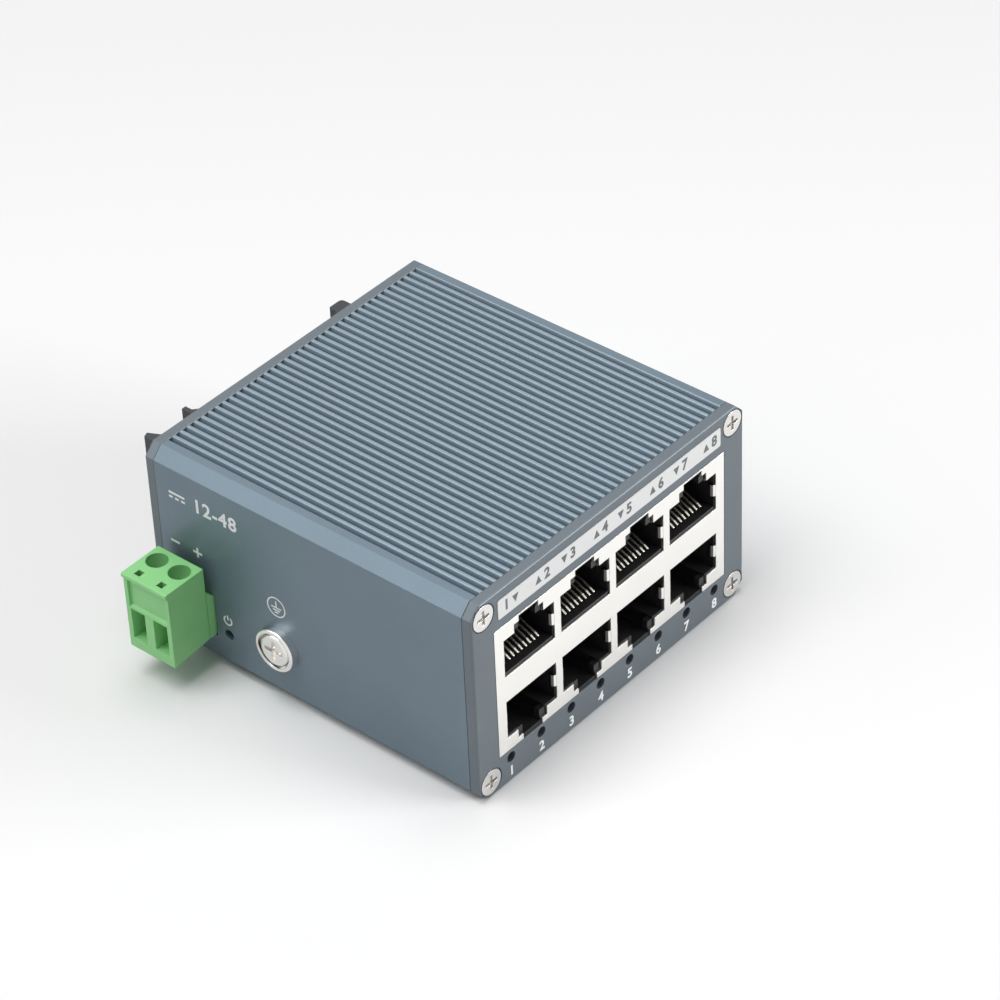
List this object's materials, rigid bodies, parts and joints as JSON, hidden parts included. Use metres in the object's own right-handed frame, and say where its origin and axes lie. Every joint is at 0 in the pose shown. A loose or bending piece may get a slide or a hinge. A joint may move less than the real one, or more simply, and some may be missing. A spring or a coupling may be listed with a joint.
{
  "type": "industrial ethernet switch",
  "caption": "Rail-mounted ethernet switch: ribbed blue-grey metal case, stacked network ports in a bright shield, green plug-in power terminal, earth screw and sprung rail clip.",
  "frame": {"origin": "middle of the ribbed underside of the case", "axes": "+Z from the underside to the top ribs, -Y out of the ports, -X out of the power terminal, +Y towards the rail clip"},
  "size_m": [0.0795, 0.0801, 0.04],
  "materials": {
    "case_paint": "satin blue-grey",
    "plate_paint": "satin blue-grey",
    "nickel": "bright nickel",
    "shield_metal": "bright nickel sheet",
    "label_white": "matt white film",
    "black_plastic": "matt black",
    "contact_gold": "gold-plated",
    "contact_tin": "tin-plated",
    "board_green": "green solder mask",
    "lamp_clear": "clear resin",
    "pad_grey": "soft grey pad",
    "ferrite": "matt dark grey",
    "can_aluminium": "bright drawn can",
    "ceramic": "matt tan",
    "terminal_green": "matt light green",
    "zinc_steel": "zinc-plated",
    "clip_paint": "dark grey",
    "spring_steel": "plain spring wire"
  },
  "bodies": {
    "case": {"housing": "case_paint", "front_plate": "plate_paint", "rear_plate": "plate_paint", "front_plate_screws": "nickel", "rear_plate_screws": "nickel", "port_label": "label_white", "jack_shield": "shield_metal", "jack_insert": "black_plastic", "upper_port_contacts": "contact_gold", "lower_port_contacts": "contact_gold", "main_board": "board_green", "port_lamps": "lamp_clear", "power_lamp": "lamp_clear", "switch_chip": "ferrite", "thermal_pad": "pad_grey", "port_transformers": "ferrite", "buck_inductor": "ferrite", "input_capacitors": "can_aluminium", "buck_regulator": "ferrite", "input_diodes": "ferrite", "clock_crystal": "can_aluminium", "ceramic_capacitors": "ceramic", "terminal_header": "terminal_green", "header_pins": "contact_tin", "ground_screw": "nickel", "ground_washer": "nickel", "ground_nut": "nickel", "rail_bracket": "clip_paint", "rail_bracket_screws": "zinc_steel", "latch_spring": "spring_steel"},
    "latch": {"rail_latch": "clip_paint"},
    "plug": {"plug_housing": "terminal_green", "plug_contacts": "contact_tin"},
    "screw_plus": {"clamp_screw_plus": "zinc_steel"},
    "screw_minus": {"clamp_screw_minus": "zinc_steel"},
    "cage_plus": {"clamp_cage_plus": "zinc_steel"},
    "cage_minus": {"clamp_cage_minus": "zinc_steel"}
  },
  "joints": [
    {"name": "latch_slide", "type": "slide", "parent": "case", "child": "latch", "axis": [-1, 0, 0], "range_m": [0, 0.003], "stiffness_N_per_m": 2500, "springref_m": -0.003, "deforming": ["latch_spring"]},
    {"name": "plug_slide", "type": "slide", "parent": "case", "child": "plug", "axis": [-1, 0, 0], "range_m": [0, 0.009]},
    {"name": "screw_plus_turn", "type": "hinge", "parent": "plug", "child": "screw_plus", "pos_m": [-0.039, 0.02476, 0.0168], "axis": [0, 0, -1], "range_deg": [-5, 1445]},
    {"name": "screw_minus_turn", "type": "hinge", "parent": "plug", "child": "screw_minus", "pos_m": [-0.039, 0.02984, 0.0168], "axis": [0, 0, -1], "range_deg": [-5, 1445]},
    {"name": "cage_plus_lift", "type": "slide", "parent": "plug", "child": "cage_plus", "axis": [0, 0, 1], "range_m": [0, 0.002]},
    {"name": "cage_minus_lift", "type": "slide", "parent": "plug", "child": "cage_minus", "axis": [0, 0, 1], "range_m": [0, 0.002]}
  ],
  "couplings": [
    {"joint": "screw_plus_turn", "follows": "cage_plus_lift", "rad_per_m": 12566},
    {"joint": "screw_minus_turn", "follows": "cage_minus_lift", "rad_per_m": 12566}
  ]
}
